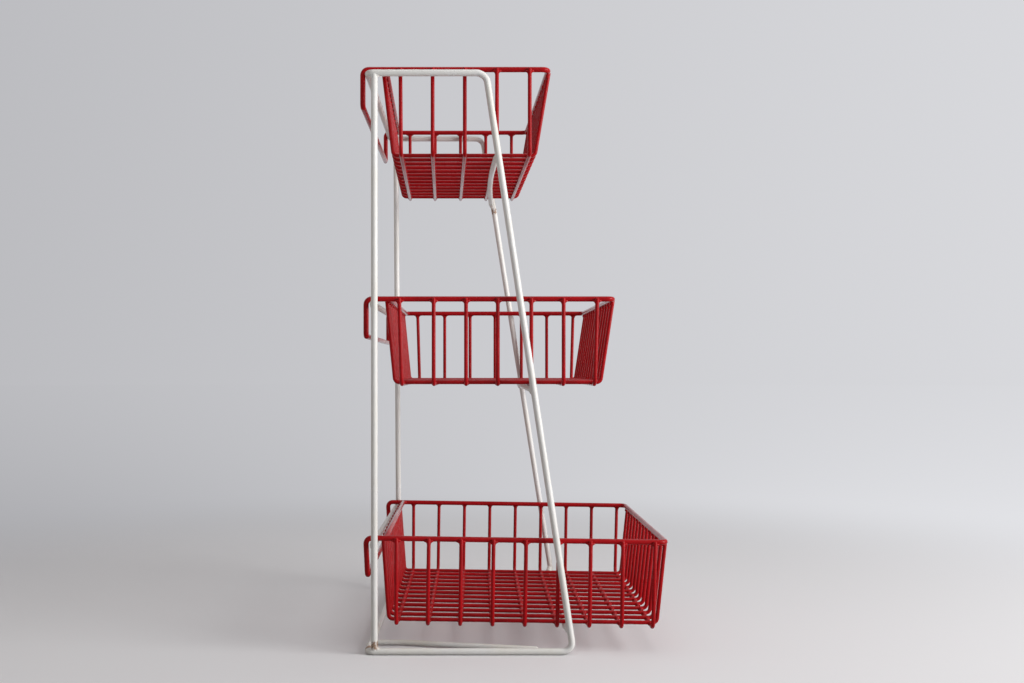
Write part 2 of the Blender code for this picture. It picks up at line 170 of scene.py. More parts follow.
def make_uneven_coat_group():
    """A coat that drifts between its fresh and its aged colour, duller where it has aged, with a
    faint ripple as its height."""
    group, given, result = start_group(
        "uneven_coat",
        [("Fresh", "NodeSocketColor"), ("Aged", "NodeSocketColor"), ("Patch Scale", "NodeSocketFloat"),
         ("Patch Share", "NodeSocketFloat"), ("Roughness", "NodeSocketFloat"),
         ("Ripple Scale", "NodeSocketFloat")],
        [("Color", "NodeSocketColor"), ("Roughness", "NodeSocketFloat"), ("Height", "NodeSocketFloat")],
    )
    spots = add_node(group, "ShaderNodeTexCoord").outputs["Object"]
    patches = add_node(group, "ShaderNodeTexNoise", {
        "Vector": spots, "Scale": given.outputs["Patch Scale"], "Detail": 4.0, "Roughness": 0.6})
    spread = add_node(group, "ShaderNodeMapRange", {
        "Value": patches.outputs["Fac"], "From Min": 0.38, "From Max": 0.68})
    share = add_node(group, "ShaderNodeMath", {
        0: spread.outputs["Result"], 1: given.outputs["Patch Share"]}, operation="MULTIPLY")
    tint = add_node(group, "ShaderNodeMix", {
        "Factor": share.outputs[0], 6: given.outputs["Fresh"], 7: given.outputs["Aged"],
    }, data_type="RGBA")
    ripple = add_node(group, "ShaderNodeTexNoise", {
        "Vector": spots, "Scale": given.outputs["Ripple Scale"], "Detail": 2.0, "Roughness": 0.45})
    dulling = add_node(group, "ShaderNodeMapRange", {
        "Value": patches.outputs["Fac"], "From Min": 0.3, "From Max": 0.7,
        "To Min": -0.07, "To Max": 0.09})
    gloss = add_node(group, "ShaderNodeMath", {
        0: given.outputs["Roughness"], 1: dulling.outputs["Result"]}, operation="ADD")
    group.links.new(tint.outputs[2], result.inputs["Color"])
    group.links.new(gloss.outputs[0], result.inputs["Roughness"])
    group.links.new(ripple.outputs["Fac"], result.inputs["Height"])
    return group


def make_chips_group():
    """Small chips where the coat is knocked off, as a mask."""
    group, given, result = start_group(
        "chips",
        [("Scale", "NodeSocketFloat"), ("Share", "NodeSocketFloat")],
        [("Mask", "NodeSocketFloat")],
    )
    spots = add_node(group, "ShaderNodeTexCoord").outputs["Object"]
    wander = add_node(group, "ShaderNodeTexNoise", {"Vector": spots, "Scale": 420.0, "Detail": 3.0})
    shaken = add_node(group, "ShaderNodeVectorMath", {
        0: wander.outputs["Color"], "Scale": 0.004}, operation="SCALE")
    moved = add_node(group, "ShaderNodeVectorMath", {
        0: spots, 1: shaken.outputs["Vector"]}, operation="ADD")
    cells = add_node(group, "ShaderNodeTexVoronoi", {
        "Vector": moved.outputs["Vector"], "Scale": given.outputs["Scale"]})
    lot = add_node(group, "ShaderNodeSeparateColor", {"Color": cells.outputs["Color"]})
    drawn = add_node(group, "ShaderNodeMath", {
        0: lot.outputs["Red"], 1: given.outputs["Share"]}, operation="LESS_THAN")
    size = add_node(group, "ShaderNodeMapRange", {
        "Value": cells.outputs["Distance"], "From Min": 0.09, "From Max": 0.05})
    mask = add_node(group, "ShaderNodeMath", {
        0: drawn.outputs[0], 1: size.outputs["Result"]}, operation="MULTIPLY")
    group.links.new(mask.outputs[0], result.inputs["Mask"])
    return group


def make_weld_rust_group():
    """Rust that creeps out of a weld, as a mask round one spot, over a mask from before."""
    group, given, result = start_group(
        "weld_rust",
        [("Spot", "NodeSocketVector"), ("Spread", "NodeSocketFloat"),
         ("Strength", "NodeSocketFloat"), ("Before", "NodeSocketFloat")],
        [("Mask", "NodeSocketFloat")],
    )
    spots = add_node(group, "ShaderNodeTexCoord").outputs["Object"]
    away = add_node(group, "ShaderNodeVectorMath", {
        0: spots, 1: given.outputs["Spot"]}, operation="DISTANCE")
    near = add_node(group, "ShaderNodeMath", {
        0: away.outputs["Value"], 1: given.outputs["Spread"]}, operation="DIVIDE")
    fade = add_node(group, "ShaderNodeMapRange", {
        "Value": near.outputs[0], "From Min": 1.0, "From Max": 0.15})
    blotch = add_node(group, "ShaderNodeTexNoise", {
        "Vector": spots, "Scale": 330.0, "Detail": 5.0, "Roughness": 0.65})
    eaten = add_node(group, "ShaderNodeMath", {
        0: fade.outputs["Result"], 1: blotch.outputs["Fac"]}, operation="MULTIPLY")
    edge = add_node(group, "ShaderNodeMapRange", {
        "Value": eaten.outputs[0], "From Min": 0.27, "From Max": 0.40,
        "To Max": given.outputs["Strength"]})
    most = add_node(group, "ShaderNodeMath", {
        0: edge.outputs["Result"], 1: given.outputs["Before"]}, operation="MAXIMUM")
    group.links.new(most.outputs[0], result.inputs["Mask"])
    return group


def use_group(tree, group, sockets):
    """Adds a node group to a tree, with values or links for its inputs."""
    return add_node(tree, "ShaderNodeGroup", sockets, node_tree=group)


UNEVEN_COAT = make_uneven_coat_group()
CHIPS = make_chips_group()
WELD_RUST = make_weld_rust_group()

FRESH_CREAM = (0.78, 0.775, 0.755, 1)
AGED_CREAM = (0.72, 0.68, 0.57, 1)
CHIPPED_BROWN = (0.30, 0.20, 0.12, 1)
RUST_BROWN = (0.24, 0.105, 0.03, 1)
RUST_ROUGHNESS = 0.85

# Welds that have rusted, as the spot, how far the rust has crept and how strong it is
RUSTED_WELDS = [
    (place(-FRAME_HALF_WIDTH, 0.0008, 0.0100), 0.0110, 0.85),
    (place(-0.165, -0.0060, 0.0060), 0.0120, 0.8),
    (place(-0.131, -0.0030, 0.0040), 0.0080, 0.8),
    (place(FRAME_HALF_WIDTH, -0.0010, 0.1138), 0.0100, 0.9),
    (place(FRAME_HALF_WIDTH, 0.1860, 0.0700), 0.0060, 1.0),
    (place(FRAME_HALF_WIDTH, 0.0008, 0.0090), 0.0120, 0.8),
    (place(FRAME_HALF_WIDTH, 0.1300, 0.5070), 0.0100, 0.9),
]


def make_cream_enamel():
    """The frame's enamel, with its chips and the rust of its welds."""
    material = bpy.data.materials.new("aged_cream_enamel")
    material.use_nodes = True
    tree = material.node_tree
    shader = tree.nodes["Principled BSDF"]
    coat = use_group(tree, UNEVEN_COAT, {
        "Fresh": FRESH_CREAM, "Aged": AGED_CREAM, "Patch Scale": 16.0, "Patch Share": 0.45,
        "Roughness": 0.36, "Ripple Scale": 300.0})
    chips = use_group(tree, CHIPS, {"Scale": 85.0, "Share": 0.035})
    rust = None
    for spot, spread, strength in RUSTED_WELDS:
        rust = use_group(tree, WELD_RUST, {
            "Spot": spot, "Spread": spread, "Strength": strength,
            "Before": rust.outputs["Mask"] if rust else 0.0})
    chipped = add_node(tree, "ShaderNodeMix", {
        "Factor": chips.outputs["Mask"], 6: coat.outputs["Color"], 7: CHIPPED_BROWN}, data_type="RGBA")
    rusted = add_node(tree, "ShaderNodeMix", {
        "Factor": rust.outputs["Mask"], 6: chipped.outputs[2], 7: RUST_BROWN}, data_type="RGBA")
    dull = add_node(tree, "ShaderNodeMix", {
        "Factor": rust.outputs["Mask"], 2: coat.outputs["Roughness"], 3: RUST_ROUGHNESS,
    }, data_type="FLOAT")
    sunk = add_node(tree, "ShaderNodeMath", {
        0: coat.outputs["Height"], 1: chips.outputs["Mask"]}, operation="SUBTRACT")
    bump = add_node(tree, "ShaderNodeBump", {
        "Height": sunk.outputs[0], "Strength": 0.25, "Distance": 0.0004})
    tree.links.new(rusted.outputs[2], shader.inputs["Base Color"])
    tree.links.new(dull.outputs[0], shader.inputs["Roughness"])
    tree.links.new(bump.outputs["Normal"], shader.inputs["Normal"])
    return material


CREAM_ENAMEL = make_cream_enamel()


def dress(piece, material, slot, body, *nodes):
    """Gives a finished piece its coat and its place in the frame."""
    piece.data.materials.clear()
    piece.data.materials.append(material)
    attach(piece, body)
    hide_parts(*nodes)


for side_name, side in (("left", -1), ("right", 1)):
    x = side * FRAME_HALF_WIDTH
    turned_x = side * (FRAME_HALF_WIDTH - TURNED_IN)
    rod = bent_wire(side_name + "_side_rod_enamelled", [
        (place(turned_x, -CORNER_SETBACK, TOP_BAR_HEIGHT), 0),
        (place(x, -CORNER_SETBACK, TOP_BAR_HEIGHT), CORNER_BEND),
        (place(x, TOP_BAR_REACH, TOP_BAR_HEIGHT), TOP_BEND),
        (place(x, BOTTOM_BAR_REACH, BOTTOM_BAR_HEIGHT), FOOT_BEND),
        (place(x, -CORNER_SETBACK, BOTTOM_BAR_HEIGHT), CORNER_BEND),
        (place(turned_x, -CORNER_SETBACK, BOTTOM_BAR_HEIGHT), 0),
    ], ROD_RADIUS, ROD_FACETS, bend_steps=ROD_BEND_STEPS)
    dress(rod, CREAM_ENAMEL, "cream_coat", "frame", side_name + "_side_rod")

# Rear legs. Straight rods of the same steel, cut square and welded upright between the top and the
# bottom bar just in front of the rear corners. The enamel fills the corners of each weld.
FILLET_REACH = 0.0030
FILLET_STEPS = 6
FILLET_FACETS = 14
FILLET_THICKNESS_SHARE = 0.9
FILLET_ROOT_DEPTH_SHARE = 0.4
FILLET_ROOT_FLARE_SHARE = 0.8
WELD_CORE_SHARE = 0.9


def make_fillet(core, away, along, wire_radius, core_radius, name, reach=FILLET_REACH):
    """The fillet round the end of a wire that leaves a rod. Its core is a point of the rod's centre
    line, which runs along one direction, and the wire goes away in the other."""
    rings = []
    for step in range(FILLET_STEPS):
        turn = math.pi / 2 * step / (FILLET_STEPS - 1)
        rings.append((
            core_radius + reach * (1 - math.sin(turn)), wire_radius + reach * (1 - math.cos(turn))))
    rings.append((core_radius * FILLET_ROOT_DEPTH_SHARE, wire_radius + reach * FILLET_ROOT_FLARE_SHARE))
    bpy.ops.object.select_all(action="DESELECT")
    bpy.ops.mesh.primitive_circle_add(
        vertices=FILLET_FACETS, radius=wire_radius, fill_type="NGON", location=(0, 0, rings[0][0]),
    )
    fillet = bpy.context.object
    fillet.name = name
    bpy.ops.object.mode_set(mode="EDIT")
    bpy.ops.transform.resize(value=(1, FILLET_THICKNESS_SHARE, 1))
    for (before, old), (after, new) in zip(rings, rings[1:]):
        bpy.ops.mesh.extrude_region_move(TRANSFORM_OT_translate={"value": (0, 0, after - before)})
        bpy.ops.transform.resize(value=(new / old, 1, 1))
    bpy.ops.mesh.select_all(action="SELECT")
    bpy.ops.mesh.normals_make_consistent(inside=False)
    bpy.ops.object.mode_set(mode="OBJECT")
    bpy.ops.object.transform_apply(location=True, rotation=True, scale=True)
    up = Vector(away).normalized()
    across = Vector(along)
    across = (across - up * across.dot(up)).normalized()
    turned = Matrix((across, up.cross(across), up)).transposed()
    fillet.rotation_euler = turned.to_euler()
    fillet.location = core
    bpy.ops.object.transform_apply(location=True, rotation=True, scale=True)
    bpy.ops.object.shade_smooth()
    return fillet


for side_name, side in (("left", -1), ("right", 1)):
    x = side * FRAME_HALF_WIDTH
    foot = place(x, 0, BOTTOM_BAR_HEIGHT)
    head = place(x, 0, TOP_BAR_HEIGHT)
    name = side_name + "_rear_leg"
    parts = [bent_wire(name, [(foot, 0), (head, 0)], ROD_RADIUS, ROD_FACETS)]
    for core, away in ((foot, (0, 0, 1)), (head, (0, 0, -1))):
        parts.append(make_fillet(
            core, away, (0, 1, 0), ROD_RADIUS, ROD_RADIUS * WELD_CORE_SHARE, name + "_weld"))
    leg = join_pieces(parts, name + "_enamelled")
    dress(leg, CREAM_ENAMEL, "cream_coat", "frame", name)

# Rear bars. The top and the base bar are butt-welded to the side rods' turned-in ends, and the two
# thinner bars that the lower baskets hang on are welded between the rear legs.
REAR_BAR_RADIUS = 0.0033
REAR_BAR_SETBACK = 0.0016
MIDDLE_BAR_HEIGHT = 0.3642
LOWER_BAR_HEIGHT = 0.1138
RING_AXES = (0.0024, 0.0040, 0.0040)
RING_LIFT = 0.0006
BEAD_SEGMENTS = 10
BEAD_RINGS = 6


def make_bead(spot, half_axes, name):
    """A drop of weld or coat, set on a joint."""
    bpy.ops.object.select_all(action="DESELECT")
    bpy.ops.mesh.primitive_uv_sphere_add(
        segments=BEAD_SEGMENTS, ring_count=BEAD_RINGS, radius=1, location=spot, scale=half_axes,
    )
    bead = bpy.context.object
    bead.name = name
    bpy.ops.object.transform_apply(location=True, rotation=True, scale=True)
    bpy.ops.object.shade_smooth()
    return bead


for node, half, reach, height, radius in (
    ("rear_top_bar", FRAME_HALF_WIDTH - TURNED_IN, -CORNER_SETBACK, TOP_BAR_HEIGHT, ROD_RADIUS),
    ("rear_base_bar", FRAME_HALF_WIDTH - TURNED_IN, -CORNER_SETBACK, BOTTOM_BAR_HEIGHT, ROD_RADIUS),
    ("rear_middle_bar", FRAME_HALF_WIDTH, -REAR_BAR_SETBACK, MIDDLE_BAR_HEIGHT, REAR_BAR_RADIUS),
    ("rear_lower_bar", FRAME_HALF_WIDTH, -REAR_BAR_SETBACK, LOWER_BAR_HEIGHT, REAR_BAR_RADIUS),
):
    parts = [bent_wire(node, [
        (place(-half, reach, height), 0), (place(half, reach, height), 0),
    ], radius, ROD_FACETS)]
    for side in (-1, 1):
        end = place(side * half, reach, height)
        if half == FRAME_HALF_WIDTH:
            parts.append(make_fillet(
                end, (-side, 0, 0), (0, 0, 1), radius, ROD_RADIUS * WELD_CORE_SHARE, node + "_weld"))
        else:
            parts.append(make_bead(end + Vector((0, 0, RING_LIFT)), RING_AXES, node + "_weld"))
    bar = join_pieces(parts, node + "_enamelled")
    dress(bar, CREAM_ENAMEL, "cream_coat", "frame", node)

# Front bars. Three rods cut to fit between the sloping front legs and welded to their rear faces.
# The top one has sprung back in a slight bow, and the ends of the bottom one are bent up to clear
# the basket's corners. A lump of weld under the enamel rounds off each end.
FRONT_BAR_RADIUS = 0.0030
FRONT_BAR_END_X = 0.1700
FRONT_WELD_CORE = 0.0012
FRONT_WELD_AHEAD = 0.0014
FRONT_LUMP_AXES = (0.0036, 0.0036, 0.0056)

# Each bar's corners, as their place across the rack, their reach, their height and their bend
FRONT_BARS = (
    ("front_top_bar", [
        (-FRONT_BAR_END_X, 0.1264, 0.5161, 0), (-0.0600, 0.1229, 0.5161, 1.4),
        (0.0300, 0.1227, 0.5161, 1.4), (FRONT_BAR_END_X, 0.1264, 0.5161, 0)]),
    ("front_middle_bar", [
        (-FRONT_BAR_END_X, 0.1624, 0.2758, 0), (FRONT_BAR_END_X, 0.1624, 0.2758, 0)]),
    ("front_bottom_bar", [
        (-FRONT_BAR_END_X, 0.1995, 0.0280, 0), (-0.1646, 0.1995, 0.0280, 0.008),
        (-0.1525, 0.2000, 0.0246, 0.008), (0.1525, 0.2000, 0.0246, 0.008),
        (0.1646, 0.1995, 0.0280, 0.008), (FRONT_BAR_END_X, 0.1995, 0.0280, 0)]),
)
LEG_DIRECTION = Vector(
    (0, BOTTOM_BAR_REACH - TOP_BAR_REACH, TOP_BAR_HEIGHT - BOTTOM_BAR_HEIGHT)).normalized()
for node, corners in FRONT_BARS:
    line = [(place(x, reach, height), bend) for x, reach, height, bend in corners]
    parts = [bent_wire(node, line, FRONT_BAR_RADIUS, ROD_FACETS)]
    for (end, bend), side in ((line[0], -1), (line[-1], 1)):
        end = end + Vector((0, -FRONT_WELD_AHEAD, 0))
        parts.append(make_fillet(
            end, (-side, 0, 0), LEG_DIRECTION, FRONT_BAR_RADIUS, FRONT_WELD_CORE, node + "_weld"))
        parts.append(make_bead(end, FRONT_LUMP_AXES, node + "_lump"))
    bar = join_pieces(parts, node + "_enamelled")
    dress(bar, CREAM_ENAMEL, "cream_coat", "frame", node)

# Base braces. Thinner rods, welded square to the rear base bar and bent outward, whose front ends lie
# against the inside of the bottom bars, a little proud of them, and are welded there.
BRACE_RADIUS = 0.0028
BRACE_REAR_X = 0.131
BRACE_BEND_REACH = 0.0249
BRACE_BEND = 0.03
BRACE_FRONT_REACH = 0.170
BRACE_FRONT_RISE = 0.0010
BRACE_FRONT_X = FRAME_HALF_WIDTH - ROD_RADIUS - BRACE_RADIUS
for side_name, side in (("left", -1), ("right", 1)):
    root = place(side * BRACE_REAR_X, -CORNER_SETBACK, BOTTOM_BAR_HEIGHT)
    name = side_name + "_base_brace"
    brace = join_pieces([
        bent_wire(name, [
            (root, 0),
            (place(side * BRACE_REAR_X, BRACE_BEND_REACH, BOTTOM_BAR_HEIGHT), BRACE_BEND),
            (place(
                side * BRACE_FRONT_X, BRACE_FRONT_REACH, BOTTOM_BAR_HEIGHT + BRACE_FRONT_RISE), 0),
        ], BRACE_RADIUS, ROD_FACETS),
        make_fillet(
            root, (0, -1, 0), (1, 0, 0), BRACE_RADIUS, ROD_RADIUS * WELD_CORE_SHARE, name + "_weld"),
    ], name + "_enamelled")
    dress(brace, CREAM_ENAMEL, "cream_coat", "frame", name)

# Basket rims. Each rim is one closed loop of the thicker wire, bent round the front and the sides,
# over the rear bar, down behind it as two tails and across as the hook. The whole basket was dipped
# after welding, so the red coat is thick, glossy and a little lumpy.
BARE_RIM_RADIUS = 0.00255
RIM_RADIUS = 0.0028
RIM_FACETS = 16
RIM_HALF_WIDTH = 0.1616
RIM_BEND = 0.007
HOOK_BEND = 0.005
HOOK_HEIGHT = 0.039
BASKET_HEIGHT = 0.0874
WIRE_GAP = 0.0003
FRONT_RIM_SHIFT = 0.0022

# A drop is how far a basket's front hangs below level. The far side of the top basket is pushed to the
# rear, which is its rack. A skew is how far forward the far ends of the cross wires are, and a foot
# draw how far forward the feet of the first and the last one are set.
BASKETS = [
    {"name": "top_basket", "bar": Vector((0, LEG_LINE + CORNER_SETBACK, TOP_BAR_HEIGHT)),
     "bar_radius": ROD_RADIUS, "depth": 0.1674, "rear_reach": 0.0187, "drop": 0.0,
     "front_lean": 0.0147, "rear_lean": 0.0103, "hook_clearance": 0.0003, "hook_lean": 0.0,
     "rack": -0.0075, "skew": -0.0075, "foot_draw": (0.0006, 0.0)},
    {"name": "middle_basket", "bar": Vector((0, LEG_LINE + REAR_BAR_SETBACK, MIDDLE_BAR_HEIGHT)),
     "bar_radius": REAR_BAR_RADIUS, "depth": 0.2321, "rear_reach": 0.0165, "drop": 0.0,
     "front_lean": 0.0133, "rear_lean": 0.0087, "hook_clearance": 0.0023, "hook_lean": 0.0,
     "rack": 0.0, "skew": 0.0040, "foot_draw": (0.0026, -0.0024)},
    {"name": "bottom_basket", "bar": Vector((0, LEG_LINE + REAR_BAR_SETBACK, LOWER_BAR_HEIGHT)),
     "bar_radius": REAR_BAR_RADIUS, "depth": 0.2918, "rear_reach": 0.0123, "drop": 0.0043,
     "front_lean": 0.0079, "rear_lean": 0.0075, "hook_clearance": 0.0027, "hook_lean": 0.0024,
     "rack": 0.0, "skew": 0.0016, "foot_draw": (0.0010, -0.0010)},
]


def basket_place(basket, x, reach, height):
    """A point of a basket while it is made level, measured from the rear bar that it hangs on."""
    return basket["bar"] + Vector((x, -reach, height))


def hang(piece, basket):
    """Turns a finished piece about the rear bar, to the pitch at which its basket rests."""
    bpy.ops.object.select_all(action="DESELECT")
    piece.select_set(True)
    bpy.context.view_layer.objects.active = piece
    pitch = math.atan2(basket["drop"], basket["depth"])
    bpy.ops.transform.rotate(value=-pitch, orient_axis="X", center_override=basket["bar"])
    bpy.ops.object.transform_apply(location=True, rotation=True, scale=True)


def rim_height(basket):
    """The height of a rim's centre line, with the top of its coat level with the bare rim's top."""
    return basket["bar_radius"] + WIRE_GAP + 2 * BARE_RIM_RADIUS - RIM_RADIUS


def make_dust_and_top_sheen_group():
    """Settled dust on the upward faces of a coat, in patches, and a painted highlight there: the upward
    faces are made paler, as if the light from above catches them.
    """
    group, given, result = start_group(
        "dust_and_top_sheen",
        [("Color", "NodeSocketColor"), ("Dust And Sheen", "NodeSocketColor"), ("Amount", "NodeSocketFloat")],
        [("Color", "NodeSocketColor")],
    )
    facing = add_node(group, "ShaderNodeSeparateXYZ", {
        "Vector": add_node(group, "ShaderNodeNewGeometry").outputs["Normal"]})
    upward = add_node(group, "ShaderNodeMapRange", {
        "Value": facing.outputs["Z"], "From Min": 0.25, "From Max": 1.0})
    spots = add_node(group, "ShaderNodeTexCoord").outputs["Object"]
    specks = add_node(group, "ShaderNodeTexNoise", {
        "Vector": spots, "Scale": 95.0, "Detail": 6.0, "Roughness": 0.7})
    thick = add_node(group, "ShaderNodeMapRange", {
        "Value": specks.outputs["Fac"], "From Min": 0.35, "From Max": 0.7})
    laid = add_node(group, "ShaderNodeMath", {
        0: upward.outputs["Result"], 1: thick.outputs["Result"]}, operation="MULTIPLY")
    amount = add_node(group, "ShaderNodeMath", {
        0: laid.outputs[0], 1: given.outputs["Amount"]}, operation="MULTIPLY")
    mixed = add_node(group, "ShaderNodeMix", {
        "Factor": amount.outputs[0], 6: given.outputs["Color"], 7: given.outputs["Dust And Sheen"],
    }, data_type="RGBA")
    group.links.new(mixed.outputs[2], result.inputs["Color"])
    return group


DUST_AND_TOP_SHEEN = make_dust_and_top_sheen_group()
FRESH_RED = (0.395, 0.004, 0.007, 1)
AGED_RED = (0.25, 0.003, 0.004, 1)
# A pale pink for the dust and for the painted highlight on the upward faces
DUST_AND_SHEEN_PINK = (0.50, 0.25, 0.23, 1)
CHIPPED_RED = (0.10, 0.02, 0.02, 1)


def make_red_coat():
    """The baskets' thick dip coat, which gleams where it is seen edge on."""
    material = bpy.data.materials.new("thick_red_dip_coat")
    material.use_nodes = True
    tree = material.node_tree
    shader = tree.nodes["Principled BSDF"]
    coat = use_group(tree, UNEVEN_COAT, {
        "Fresh": FRESH_RED, "Aged": AGED_RED, "Patch Scale": 24.0, "Patch Share": 0.6,
        "Roughness": 0.28, "Ripple Scale": 230.0})
    # Upward faces are paled in patches: partly real dust, partly a painted highlight where the light
    # from above would catch the tops.
    dusted_and_sheened = use_group(tree, DUST_AND_TOP_SHEEN, {
        "Color": coat.outputs["Color"], "Dust And Sheen": DUST_AND_SHEEN_PINK, "Amount": 0.04})
    chips = use_group(tree, CHIPS, {"Scale": 70.0, "Share": 0.03})
    chipped = add_node(tree, "ShaderNodeMix", {
        "Factor": chips.outputs["Mask"], 6: dusted_and_sheened.outputs["Color"], 7: CHIPPED_RED}, data_type="RGBA")
    sunk = add_node(tree, "ShaderNodeMath", {
        0: coat.outputs["Height"], 1: chips.outputs["Mask"]}, operation="SUBTRACT")
    bump = add_node(tree, "ShaderNodeBump", {
        "Height": sunk.outputs[0], "Strength": 0.3, "Distance": 0.0006})
    tree.links.new(chipped.outputs[2], shader.inputs["Base Color"])
    tree.links.new(coat.outputs["Roughness"], shader.inputs["Roughness"])
    tree.links.new(bump.outputs["Normal"], shader.inputs["Normal"])
    shader.inputs["Specular IOR Level"].default_value = 0.13
    edge_on = add_node(tree, "ShaderNodeLayerWeight", {"Blend": 0.5})
    gleam = add_node(tree, "ShaderNodeMapRange", {
        "Value": edge_on.outputs["Facing"], "From Min": 0.75, "From Max": 0.92, "To Max": 0.85})
    tree.links.new(gleam.outputs["Result"], shader.inputs["Coat Weight"])
    shader.inputs["Coat Roughness"].default_value = 0.18
    shader.inputs["Coat IOR"].default_value = 2.0
    return material


RED_COAT = make_red_coat()

for basket in BASKETS:
    rim = rim_height(basket)
    front = basket["rear_reach"] + basket["depth"] + FRONT_RIM_SHIFT
    hook = -(rim + basket["hook_clearance"] - WIRE_GAP)
    hook_foot = hook + basket["hook_lean"]
    loop = bent_wire(basket["name"] + "_rim_coated", [
        (basket_place(basket, -RIM_HALF_WIDTH, front, rim), RIM_BEND),
        (basket_place(basket, RIM_HALF_WIDTH, front + basket["rack"], rim), RIM_BEND),
        (basket_place(basket, RIM_HALF_WIDTH, hook, rim), rim),
        (basket_place(basket, RIM_HALF_WIDTH, hook_foot, rim - HOOK_HEIGHT), HOOK_BEND),
        (basket_place(basket, -RIM_HALF_WIDTH, hook_foot, rim - HOOK_HEIGHT), HOOK_BEND),
        (basket_place(basket, -RIM_HALF_WIDTH, hook, rim), rim),
    ], RIM_RADIUS, RIM_FACETS, closed=True)
    hang(loop, basket)
    dress(loop, RED_COAT, "red_coat", basket["name"], basket["name"] + "_rim")

# Cross wires. Each one is bent up at both ends, welded under the long wires and lapped against the
# outside of the side rims. The dip coat has run into every corner, so each end flares into the rim
# and each crossing on the floor carries a small bead.
CROSS_WIRE_RADIUS = 0.0021
CROSS_WIRE_HALF_WIDTH = 0.1653
WIRE_FACETS = 14
CROSS_WIRE_BEND = 0.0072
CROSS_WIRE_TIP = 0.0010
FLOOR_LAP = 0.0019
COAT_WEB = 0.0030
WEB_INSET = 0.0012
BEAD_AXES = (0.0045, 0.0035, 0.0028)
LONG_WIRE_COUNT = 13
LONG_WIRE_SPAN = 0.2939
CROSS_WIRE_REACHES = {
    "top_basket": [0.0335, 0.0671, 0.1007, 0.1343, 0.1685],
    "middle_basket": [0.0270, 0.0630, 0.0968, 0.1300, 0.1650, 0.1987, 0.2338],
    "bottom_basket": [0.0240, 0.0579, 0.0918, 0.1256, 0.1595, 0.1934, 0.2271, 0.2608, 0.2944],
}


def copy_piece(piece, shift, name):
    """A copy of a piece, moved to its own place."""
    bpy.ops.object.select_all(action="DESELECT")
    piece.select_set(True)
    bpy.context.view_layer.objects.active = piece
    bpy.ops.object.duplicate(linked=False)
    bpy.ops.transform.translate(value=shift)
    bpy.ops.object.transform_apply(location=True, rotation=True, scale=True)
    copied = bpy.context.object
    copied.name = name
    return copied


long_wire_places = [
    LONG_WIRE_SPAN * (index / (LONG_WIRE_COUNT - 1) - 0.5) for index in range(LONG_WIRE_COUNT)
]


def make_cross_wire(basket, reach, foot_draw, name):
    """One cross wire, welded a little out of square, with its webs and its beads."""
    rim = rim_height(basket)
    floor = rim - BASKET_HEIGHT - FLOOR_LAP
    near_foot = reach + foot_draw
    far_foot = reach + foot_draw + basket["skew"]
    parts = [bent_wire(name, [
        (basket_place(basket, -CROSS_WIRE_HALF_WIDTH, reach, rim + CROSS_WIRE_TIP), 0),
        (basket_place(basket, -CROSS_WIRE_HALF_WIDTH, near_foot, floor), CROSS_WIRE_BEND),
        (basket_place(basket, CROSS_WIRE_HALF_WIDTH, far_foot, floor), CROSS_WIRE_BEND),
        (basket_place(basket, CROSS_WIRE_HALF_WIDTH, reach + basket["skew"], rim + CROSS_WIRE_TIP), 0),
    ], CROSS_WIRE_RADIUS, WIRE_FACETS)]
    for side, top in ((-1, reach), (1, reach + basket["skew"])):
        core = basket_place(basket, side * (CROSS_WIRE_HALF_WIDTH - WEB_INSET), top, rim)
        parts.append(make_fillet(
            core, (0, 0, -1), (0, 1, 0), CROSS_WIRE_RADIUS, RIM_RADIUS, name + "_web", COAT_WEB))
    for x in long_wire_places:
        share = 0.5 + x / (2 * CROSS_WIRE_HALF_WIDTH)
        spot = basket_place(basket, x, near_foot + basket["skew"] * share, floor + FLOOR_LAP / 2)
        parts.append(make_bead(spot, BEAD_AXES, name + "_bead"))
    return join_pieces(parts, name)


for basket in BASKETS:
    reaches = CROSS_WIRE_REACHES[basket["name"]]
    name = basket["name"] + "_cross_wire"
    first_draw, last_draw = basket["foot_draw"]
    first = make_cross_wire(basket, reaches[0], first_draw, name + "_1_coated")
    second = make_cross_wire(basket, reaches[1], 0.0, name + "_2_coated")
    wires = [first, second]
    for number, reach in enumerate(reaches[2:-1], start=3):
        wires.append(copy_piece(second, (0, reaches[1] - reach, 0), f"{name}_{number}_coated"))
    wires.append(make_cross_wire(basket, reaches[-1], last_draw, f"{name}_{len(reaches)}_coated"))
    for number, wire in enumerate(wires, start=1):
        hang(wire, basket)
        dress(wire, RED_COAT, "red_coat", basket["name"], f"{name}_{number}")

